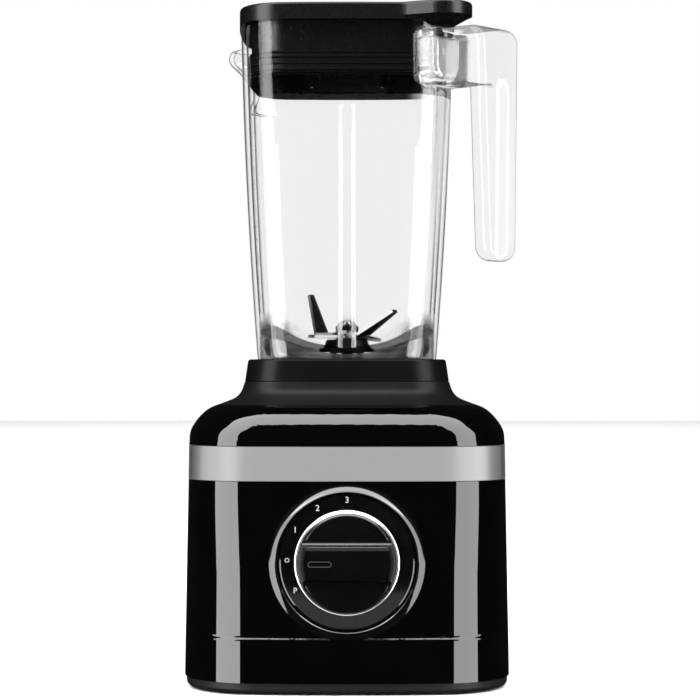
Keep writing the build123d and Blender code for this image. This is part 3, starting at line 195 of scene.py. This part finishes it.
SILVER = metal("satin_silver", (0.57, 0.57, 0.575), (0.62, 0.62, 0.625), (0.32, 0.37), (1.0, 1.0, 40.0), 500.0, 0.04, 0.00001)
CHROME = metal("chrome", (0.80, 0.81, 0.82), (0.86, 0.87, 0.88), (0.04, 0.09), None, 300.0, 0.0)
STAINLESS = metal("stainless", (0.26, 0.26, 0.265), (0.36, 0.36, 0.365), (0.16, 0.30), (1.0, 6.0, 1.0), 1200.0, 0.12, 0.00002)
BLADE = metal("blade_steel", (0.10, 0.10, 0.105), (0.15, 0.15, 0.155), (0.22, 0.34), (1.0, 6.0, 1.0), 1200.0, 0.12, 0.00002)
STEEL = metal("steel", (0.38, 0.38, 0.39), (0.50, 0.50, 0.51), (0.28, 0.42), None, 800.0, 0.1)
LAMINATION = metal("lamination", (0.16, 0.16, 0.17), (0.30, 0.30, 0.31), (0.38, 0.5), (1.0, 1.0, 30.0), 300.0, 0.4, 0.00005)
COPPER = metal("copper", (0.45, 0.17, 0.07), (0.68, 0.30, 0.14), (0.22, 0.36), (1.0, 1.0, 8.0), 700.0, 0.5, 0.0001)
ZINC = metal("die_cast", (0.42, 0.42, 0.43), (0.56, 0.56, 0.57), (0.42, 0.58), None, 1400.0, 0.25, 0.00004)


def clear_plastic(name):
    """Clear moulded copolyester: it bends light where it is thick, in the bowl and at the handle's root;
    elsewhere it is a clear skin, greyed by painted shade where it is seen edge on, for the dark surroundings its walls
    refract."""
    m, nt, bsdf, co = material(name)
    bsdf.inputs["Transmission Weight"].default_value = 1.0
    bsdf.inputs["IOR"].default_value = 1.50
    drift = noise(nt, co, 22.0, 3.0, 0.5)
    nt.links.new(spread(nt, noise(nt, co, 120.0, 2.0, 0.5), 0.0, 0.012), bsdf.inputs["Roughness"])
    split = nt.nodes.new("ShaderNodeSeparateXYZ")
    nt.links.new(co, split.inputs["Vector"])
    x, y, z = (split.outputs[k] for k in "XYZ")
    # the bowl: everything low and inside the walls; its colour darkens with painted shade for the dark collar and hub
    # seen through it
    across = math_node(nt, "MAXIMUM", math_node(nt, "ABSOLUTE", x), math_node(nt, "ABSOLUTE", y))
    inside = spread(nt, across, 1.0, 0.0, 0.0512, 0.0526)
    low = spread(nt, z, 1.0, 0.0, 0.212, 0.220)
    bowl = math_node(nt, "MULTIPLY", inside, low)
    mottled = math_node(nt, "ADD", bowl, spread(nt, drift, -0.05, 0.05))
    depth = nt.nodes.new("ShaderNodeValToRGB")
    stops = depth.color_ramp.elements
    stops[0].position, stops[0].color = 0.08, (0.93, 0.93, 0.935, 1)
    stops[1].position, stops[1].color = 0.90, (BOWL_PAINTED_SHADE, BOWL_PAINTED_SHADE, BOWL_PAINTED_SHADE * 1.01, 1)
    nt.links.new(mottled, depth.inputs["Fac"])
    nt.links.new(depth.outputs["Color"], bsdf.inputs["Base Color"])
    # the skin and its shine; the skin's grey where it is seen edge on is painted shade
    facing = nt.nodes.new("ShaderNodeLayerWeight")
    facing.inputs["Blend"].default_value = 0.5
    edge_shade = nt.nodes.new("ShaderNodeValToRGB")
    stops = edge_shade.color_ramp.elements
    stops[0].position, stops[0].color = 0.0, (0.984, 0.984, 0.986, 1)
    stops[1].position, stops[1].color = 1.0, (0.45, 0.45, 0.45, 1)
    for at, c in ((0.56, 0.97), (0.68, 0.70), (0.77, 0.09), (0.94, 0.05)):
        stop = stops.new(at)
        stop.color = (c, c, c, 1)
    nt.links.new(facing.outputs["Facing"], edge_shade.inputs["Fac"])
    # the painted shade greys only the thick corners, the outer face less than the inner one; the wall's middle follows
    # the jar's sides
    t = spread(nt, z, 0.0, 1.0, 0.184, 0.390)
    lean = math_node(nt, "ADD", math_node(nt, "MULTIPLY", t, -0.006), 0.0164)
    middle = math_node(nt, "ADD", math_node(nt, "MULTIPLY", t, lean), 0.0526)
    beyond = math_node(nt, "SUBTRACT", across, middle)
    outer = math_node(nt, "MULTIPLY", spread(nt, beyond, 0.0, 0.84, -0.0002, 0.0002), spread(nt, beyond, 1.0, 0.35, 0.003, 0.006))
    nearer = math_node(nt, "MINIMUM", math_node(nt, "ABSOLUTE", x), math_node(nt, "ABSOLUTE", y))
    flank = spread(nt, math_node(nt, "SUBTRACT", nearer, middle), 0.93, 0.0, -0.0250, -0.0225)
    paler = nt.nodes.new("ShaderNodeMix")
    paler.data_type = "RGBA"
    paler.inputs["B"].default_value = (0.98, 0.98, 0.98, 1)
    nt.links.new(math_node(nt, "MAXIMUM", outer, flank), paler.inputs["Factor"])
    nt.links.new(edge_shade.outputs["Color"], paler.inputs["A"])
    skin = nt.nodes.new("ShaderNodeBsdfTransparent")
    nt.links.new(paler.outputs["Result"], skin.inputs["Color"])
    shine = nt.nodes.new("ShaderNodeBsdfGlossy")
    nt.links.new(shades(nt, drift, (0.95, 0.95, 0.95), (1.0, 1.0, 1.0)), shine.inputs["Color"])
    shine.inputs["Roughness"].default_value = 0.01
    wall = nt.nodes.new("ShaderNodeMixShader")
    nt.links.new(spread(nt, math_node(nt, "POWER", facing.outputs["Facing"], 5.0), 0.018, 0.08, 0.0, 1.0), wall.inputs["Fac"])
    nt.links.new(skin.outputs["BSDF"], wall.inputs[1])
    nt.links.new(shine.outputs["BSDF"], wall.inputs[2])
    # how much of each place is thin skin
    share = nt.nodes.new("ShaderNodeValToRGB")
    share.color_ramp.interpolation = "EASE"
    stops = share.color_ramp.elements
    stops[0].position, stops[0].color = 0.10, (WALL_SHARE, WALL_SHARE, WALL_SHARE, 1)
    stops[1].position, stops[1].color = 1.0, (GRIP_SHARE, GRIP_SHARE, GRIP_SHARE, 1)
    for at, c in ((0.28, ROOT_SHARE), (0.37, ROOT_SHARE), (0.46, GRIP_SHARE)):
        stop = stops.new(at)
        stop.color = (c, c, c, 1)
    nt.links.new(spread(nt, math_node(nt, "SUBTRACT", x, y), 0.0, 1.0, 0.090, 0.160), share.inputs["Fac"])
    thin = math_node(nt, "MULTIPLY", share.outputs["Color"], spread(nt, bowl, 1.0, BOWL_SHARE, 0.0, 1.0))
    both = nt.nodes.new("ShaderNodeMixShader")
    nt.links.new(thin, both.inputs["Fac"])
    nt.links.new(bsdf.outputs["BSDF"], both.inputs[1])
    nt.links.new(wall.outputs["Shader"], both.inputs[2])
    out = next(n for n in nt.nodes if n.type == "OUTPUT_MATERIAL")
    # painted light: a white diffuse layer on the handle's root stands in for the light its solid plastic pipes to its
    # faces
    reach = math_node(nt, "SUBTRACT", x, y)
    root = math_node(nt, "MULTIPLY", spread(nt, reach, 0.0, 1.0, 0.106, 0.110), spread(nt, reach, 1.0, 0.0, 0.121, 0.128))
    root = math_node(nt, "MULTIPLY", root, math_node(nt, "MULTIPLY", spread(nt, z, 0.0, 1.0, 0.346, 0.352), spread(nt, z, 1.0, 0.0, 0.384, 0.388)))
    piped = math_node(nt, "MULTIPLY", root, spread(nt, facing.outputs["Facing"], ROOT_LIGHT, 0.0, 0.25, 0.75))
    painted_piped_light = nt.nodes.new("ShaderNodeBsdfDiffuse")
    nt.links.new(shades(nt, drift, (0.86, 0.86, 0.87), (0.92, 0.92, 0.93)), painted_piped_light.inputs["Color"])
    lit = nt.nodes.new("ShaderNodeMixShader")
    nt.links.new(piped, lit.inputs["Fac"])
    nt.links.new(both.outputs["Shader"], lit.inputs[1])
    nt.links.new(painted_piped_light.outputs["BSDF"], lit.inputs[2])
    nt.links.new(lit.outputs["Shader"], out.inputs["Surface"])
    return m


# strength of the painted light on the handle's root
ROOT_LIGHT = 0.20
# shares of thin skin: walls, handle root, grip, and the bowl's part of the walls' share; and the painted shade of the
# thick bowl
WALL_SHARE, ROOT_SHARE, GRIP_SHARE, BOWL_SHARE, BOWL_PAINTED_SHADE = 0.985, 0.10, 0.95, 0.16, 0.29
CLEAR = clear_plastic("clear_plastic")

FINISH = {
    GLOSS_BLACK: ["housing"],
    DIAL_BLACK: ["dial_plate", "dial_bezel"],
    COLLAR_BLACK: ["jar_collar"],
    MATT_BLACK: ["neck", "cooling_fan", "drive_coupling", "jar_coupling", "blade_bearing"],
    KNOB_BLACK: ["knob"],
    LID_BLACK: ["lid"],
    CAP_BLACK: ["fill_cap"],
    DARK_GREY: ["foot_tray"],
    RUBBER: ["foot_ring", "cord_gland", "motor_dampers", "jar_gasket", "shaft_seal", "lid_seal"],
    PHENOLIC: ["rotary_switch", "brush_holders"],
    CARBON: ["carbon_brushes"],
    BOARD: ["control_board"],
    SILVER: ["trim_band"],
    CHROME: ["knob_ring"],
    STAINLESS: ["blade_nut", "blade_spacer", "blade_shaft"],
    BLADE: ["blade_upper", "blade_lower"],
    STEEL: ["tray_screws", "neck_screws", "switch_nut", "switch_spindle", "upper_bearing", "lower_bearing", "tie_bolts", "stator_spacers", "motor_screws", "brush_springs", "motor_shaft"],
    LAMINATION: ["stator_core", "armature_core"],
    COPPER: ["field_coils", "armature_windings", "commutator"],
    ZINC: ["upper_bracket", "lower_bracket"],
    CLEAR: ["jar"],
}
for mat, names in FINISH.items():
    for n in names:
        o = nodes[n]
        o.data.materials.clear()
        o.data.materials.append(mat)
nodes["jar"].visible_glossy = False  # the polished shoulder of the base mirrors the lights, not the clear jar


# ---------------------------------------------------------------- dial marks
DIAL_Z = 0.0755
MARK_Y = -0.10170


def mark(name, text, degrees, radius, size):
    """A printed mark on the dial plate; degrees from 12 o'clock, anticlockwise positive."""
    cu = bpy.data.curves.new(name, "FONT")
    cu.body = text
    cu.size = size
    cu.align_x = "CENTER"
    cu.align_y = "CENTER"
    cu.extrude = 0.00015
    cu.offset = 0.0
    cu.resolution_u = 6
    ob = bpy.data.objects.new(name + "_text", cu)
    scene.collection.objects.link(ob)
    me = bpy.data.meshes.new_from_object(ob.evaluated_get(bpy.context.evaluated_depsgraph_get()))
    bpy.data.objects.remove(ob)
    xs = [v.co.x for v in me.vertices]
    ys = [v.co.y for v in me.vertices]
    cx, cy = (min(xs) + max(xs)) / 2, (min(ys) + max(ys)) / 2
    a = math.radians(degrees)
    px, pz = -radius * math.sin(a), DIAL_Z + radius * math.cos(a)
    me.transform(Matrix(((1, 0, 0, px - cx), (0, 0, -1, MARK_Y), (0, 1, 0, pz - cy), (0, 0, 0, 1))))
    piece = bpy.data.objects.new(name, me)
    scene.collection.objects.link(piece)
    me.materials.clear()
    me.materials.append(PRINT)
    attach(piece, "base")
    return piece


mark("dial_mark_3", "3", 0.0, 0.0357, 0.0048)
mark("dial_mark_2", "2", 28.2, 0.0353, 0.0048)
mark("dial_mark_1", "1", 57.4, 0.0348, 0.0048)
mark("dial_mark_off", "O", 87.4, 0.0340, 0.0036)
mark("dial_mark_p", "P", 118.2, 0.0331, 0.0046)


# ---------------------------------------------------------------- pointer: a thin rim inside the slot of the bar
def pointer_rim(name, cx, cz, length, width, line, y0, y1):
    """A raised stadium-shaped line round the floor of the pointer slot."""
    def stadium(inset):
        r, half = width / 2 - inset, (length - width) / 2
        pts = []
        for side in (1, -1):
            for i in range(17):
                a = math.radians(-90 + 180 * i / 16)
                pts.append((cx + side * (half + r * math.cos(a)), cz + side * r * math.sin(a)))
        return pts

    bm = bmesh.new()
    loops = [[bm.verts.new((x, y, z)) for x, z in stadium(inset)] for y in (y0, y1) for inset in (0.0, line)]
    n = len(loops[0])
    for i in range(n):
        j = (i + 1) % n
        for a, b in ((0, 1), (1, 3), (3, 2), (2, 0)):
            bm.faces.new((loops[a][i], loops[a][j], loops[b][j], loops[b][i]))
    bmesh.ops.recalc_face_normals(bm, faces=bm.faces)
    me = bpy.data.meshes.new(name)
    bm.to_mesh(me)
    bm.free()
    piece = bpy.data.objects.new(name, me)
    scene.collection.objects.link(piece)
    me.materials.append(RIM_PRINT)
    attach(piece, "knob")
    return piece


pointer_rim("pointer_rim", -0.0154, DIAL_Z, 0.0134, 0.0032, 0.00034, -0.1126, -0.11312)


# ---------------------------------------------------------------- stage: floor, soft light panels, backdrop
def stage_mesh(name, verts, faces, mat):
    me = bpy.data.meshes.new(name)
    me.from_pydata(verts, [], faces)
    ob = bpy.data.objects.new(name, me)
    scene.collection.objects.link(ob)
    me.materials.append(mat)
    return ob


def glow(name, strength, color=(1.0, 1.0, 1.0)):
    m = bpy.data.materials.new(name)
    m.use_nodes = True
    nt = m.node_tree
    nt.nodes.clear()
    out = nt.nodes.new("ShaderNodeOutputMaterial")
    e = nt.nodes.new("ShaderNodeEmission")
    e.inputs["Strength"].default_value = strength
    e.inputs["Color"].default_value = (*color, 1)
    nt.links.new(e.outputs["Emission"], out.inputs["Surface"])
    return m


def only_for(light, name, *objects):
    """Lets a light reach these objects alone."""
    group = bpy.data.collections.new(name)
    for o in objects:
        group.objects.link(o)
    light.light_linking.receiver_collection = group


def all_but(light, name, *objects):
    """Keeps a light off these objects."""
    group = bpy.data.collections.new(name)
    for o in objects:
        group.objects.link(o)
    for link in group.collection_objects:
        link.light_linking.link_state = "EXCLUDE"
    light.light_linking.receiver_collection = group


def aim(ob, target):
    ob.rotation_euler = (Vector(target) - ob.location).to_track_quat("-Z", "Y").to_euler()


def area(name, location, rotation, size_x, size_y, watts):
    d = bpy.data.lights.new(name, "AREA")
    d.shape = "RECTANGLE"
    d.size, d.size_y, d.energy = size_x, size_y, watts
    ob = bpy.data.objects.new(name, d)
    ob.location, ob.rotation_euler = location, rotation
    scene.collection.objects.link(ob)
    ob.visible_camera = False
    return ob


FLOOR = plastic("floor_white", (0.78, 0.78, 0.78), (0.80, 0.80, 0.80), (0.6, 0.7), patch=2.0, specular=0.2)
floor = stage_mesh("floor", [(-8, -8, 0), (8, -8, 0), (8, 8, 0), (-8, 8, 0)], [(0, 1, 2, 3)], FLOOR)
floor.visible_glossy = False
sky = area("floor_light", (0, 2.0, 5.0), (0, 0, 0), 12.0, 14.0, 1300.0)
sky.visible_glossy = sky.visible_transmission = False
only_for(sky, "floor_only", floor)

# a hoop of light: two upright panels in front at the sides, joined over the top by curved shoulders;
# front and back edge of the left half, from the floor up to the middle overhead
HOOP_FRONT = [
    (-0.60, -1.39, -0.60), (-0.735, -1.315, -0.11), (-0.80, -1.275, -0.02), (-0.874, -1.234, 0.063), (-0.921, -1.195, 0.273), (-0.915, -1.181, 0.387),
    (-0.695, -0.940, 1.070), (-0.424, -0.701, 1.359), (-0.265, -0.650, 1.418), (-0.189, -0.639, 1.436), (-0.129, -0.642, 1.440), (-0.063, -0.639, 1.443), (0.0, -0.634, 1.448),
]
HOOP_BACK = [
    (-1.33, -0.70, -0.60), (-1.372, -0.598, -0.101), (-1.393, -0.550, -0.027), (-1.427, -0.449, 0.073), (-1.403, -0.512, 0.278), (-1.354, -0.500, 0.438),
    (-1.005, -0.190, 1.189), (-0.728, 0.045, 1.381), (-0.491, 0.075, 1.474), (-0.275, 0.059, 1.533), (-0.135, 0.045, 1.549), (-0.07, 0.040, 1.552), (0.0, 0.036, 1.554),
]


def smooth(points, steps=8):
    """A smooth curve through the points."""
    pts = [Vector(q) for q in points]
    pts = [2 * pts[0] - pts[1]] + pts + [Vector((-pts[-2].x, pts[-2].y, pts[-2].z))]
    curve = []
    for i in range(1, len(pts) - 2):
        p0, p1, p2, p3 = pts[i - 1 : i + 3]
        for k in range(steps):
            t = k / steps
            curve.append(0.5 * (2 * p1 + (p2 - p0) * t + (2 * p0 - 5 * p1 + 4 * p2 - p3) * t * t + (3 * p1 - p0 - 3 * p2 + p3) * t**3))
    return curve + [pts[-2]]


HOOP_GLOW = glow("hoop_glow", 8.0)
nt = HOOP_GLOW.node_tree
split = nt.nodes.new("ShaderNodeSeparateXYZ")
nt.links.new(nt.nodes.new("ShaderNodeTexCoord").outputs["Object"], split.inputs["Vector"])
nt.links.new(spread(nt, split.outputs["X"], 8.6, 7.4, -0.6, 0.6), nt.nodes["Emission"].inputs["Strength"])


def hoop_panel(name, side):
    """One half of the hoop, from the floor at one side to the middle overhead."""
    verts, faces = [], []
    for f, k in zip(smooth(HOOP_FRONT), smooth(HOOP_BACK)):
        verts += [(side * f.x, f.y, f.z), (side * k.x, k.y, k.z)]
    for i in range(len(verts) // 2 - 1):
        faces.append((2 * i, 2 * i + 1, 2 * i + 3, 2 * i + 2))
    ob = stage_mesh(name, verts, faces, HOOP_GLOW)
    ob.visible_camera = False
    all_but(ob, name + "_off", nodes["trim_band"])
    return ob


hoop_panel("hoop_left", 1)
hoop_panel("hoop_right", -1)

# cards round the satin band, which has no other light
BAND_AT = (0.0, 0.0, 0.131)
for name, degrees, half, radiance in (
    ("band_front", 0, 35, 0.72), ("band_left", -48.5, 13.5, 1.2), ("band_left_far", -82, 20, 0.92), ("band_left_side", -116, 14, 0.22),
    ("band_right", 48.5, 13.5, 1.1), ("band_right_far", 75.5, 13.5, 1.32), ("band_right_side", 109, 18, 0.3), ("band_back", 180, 30, 0.6),
):
    turn, wide, tall = math.radians(degrees), 2 * 0.8 * math.tan(math.radians(half)), 1.1
    card = area(name, (0.8 * math.sin(turn), -0.8 * math.cos(turn), BAND_AT[2]), (0, 0, 0), wide, tall, math.pi * wide * tall * radiance)
    aim(card, BAND_AT)
    only_for(card, name + "_only", nodes["trim_band"])

# white behind the clear jar, for what its walls mirror
card = area("jar_back", (0.0, 2.2, 0.35), (0, 0, 0), 6.0, 4.0, math.pi * 24.0)
aim(card, (0, 0, 0.35))
card.visible_transmission = False
only_for(card, "jar_only", nodes["jar"])

# a soft card at the left front for the upswept blades
card = area("blade_card", (-0.55, -0.70, 0.50), (0, 0, 0), 0.7, 0.7, math.pi * 0.49 * 1.1)
aim(card, (0, 0, 0.22))
only_for(card, "blade_only", nodes["blade_upper"])
# the fill cap's lower rim, lit from inside the jar, and its front
card = area("cap_card", (0, -0.02, 0.255), (math.radians(180), 0, 0), 0.10, 0.06, math.pi * 0.006 * 22.0)
only_for(card, "cap_rim_only", nodes["fill_cap"])
card = area("cap_back", (0, 0.9, 0.285), (0, 0, 0), 0.5, 0.14, math.pi * 0.07 * 60.0)
aim(card, (0, 0, 0.358))
only_for(card, "cap_back_only", nodes["fill_cap"])
card = area("cap_front", (0, -0.55, 0.435), (0, 0, 0), 0.5, 0.16, math.pi * 0.08 * 0.55)
aim(card, (0, 0, 0.36))
only_for(card, "cap_front_only", nodes["fill_cap"])
# the dial's rim: a card above the front
card = area("rim_card", (0, -0.5925, 0.706), (0, 0, 0), 1.5, 0.46, math.pi * 0.69 * 12.0)
aim(card, (0, -0.1, DIAL_Z))
only_for(card, "rim_only", nodes["dial_bezel"])
card = area("ring_card", (0, -0.23, 0.002), (math.radians(180), 0, 0), 0.5, 0.22, math.pi * 0.11 * 2.2)
only_for(card, "ring_only", nodes["knob_ring"])

# a low card in front, seen by the dial alone
card = area("dial_card", (0, -0.52, 0.004), (math.radians(180), 0, 0), 0.9, 0.26, 0.6)
only_for(card, "dial_only", nodes["dial_plate"], nodes["knob_ring"])

world = bpy.data.worlds.new("studio")
scene.world = world
world.use_nodes = True
nt = world.node_tree
nt.nodes.clear()
w_out = nt.nodes.new("ShaderNodeOutputWorld")
w_seen = nt.nodes.new("ShaderNodeBackground")
w_seen.inputs["Color"].default_value = (1, 1, 1, 1)
w_seen.inputs["Strength"].default_value = 1.0
# through clear pieces the room is white behind the object and falls off towards the front
w_coord = nt.nodes.new("ShaderNodeTexCoord")
w_split = nt.nodes.new("ShaderNodeSeparateXYZ")
nt.links.new(w_coord.outputs["Generated"], w_split.inputs["Vector"])
w_range = nt.nodes.new("ShaderNodeMapRange")
w_range.interpolation_type = "SMOOTHSTEP"
w_range.inputs["From Min"].default_value = -0.30
w_range.inputs["From Max"].default_value = 0.45
w_range.inputs["To Min"].default_value = 0.03
w_range.inputs["To Max"].default_value = 1.0
nt.links.new(w_split.outputs["Y"], w_range.inputs["Value"])
w_through = nt.nodes.new("ShaderNodeBackground")
w_through.inputs["Color"].default_value = (1, 1, 1, 1)
nt.links.new(w_range.outputs["Result"], w_through.inputs["Strength"])
w_dim = nt.nodes.new("ShaderNodeBackground")
w_dim.inputs["Color"].default_value = (1, 1, 1, 1)
w_dim.inputs["Strength"].default_value = 0.01
w_path = nt.nodes.new("ShaderNodeLightPath")
w_mix1 = nt.nodes.new("ShaderNodeMixShader")
nt.links.new(w_path.outputs["Is Transmission Ray"], w_mix1.inputs["Fac"])
nt.links.new(w_dim.outputs["Background"], w_mix1.inputs[1])
nt.links.new(w_through.outputs["Background"], w_mix1.inputs[2])
w_mix2 = nt.nodes.new("ShaderNodeMixShader")
nt.links.new(w_path.outputs["Is Camera Ray"], w_mix2.inputs["Fac"])
nt.links.new(w_mix1.outputs["Shader"], w_mix2.inputs[1])
nt.links.new(w_seen.outputs["Background"], w_mix2.inputs[2])
nt.links.new(w_mix2.outputs["Shader"], w_out.inputs["Surface"])

scene.view_settings.view_transform = "Standard"
scene.view_settings.look = "None"
scene.cycles.max_bounces = 24
scene.cycles.transmission_bounces = 24
scene.cycles.transparent_max_bounces = 48
scene.cycles.glossy_bounces = 8
scene.cycles.diffuse_bounces = 4

# ---------------------------------------------------------------- camera: level, at the height of the jar's seat, 1.3 m from the axis
cam_data = bpy.data.cameras.new("camera")
cam = bpy.data.objects.new("camera", cam_data)
scene.collection.objects.link(cam)
cam.location = (0.0, -1.3, 0.179)
cam.rotation_euler = (math.radians(90), 0, 0)
cam_data.sensor_width = 36.0
cam_data.lens = 108.9
cam_data.shift_x = 0.0043
cam_data.shift_y = 0.0429
cam_data.clip_start = 0.05
cam_data.clip_end = 60.0
scene.camera = cam
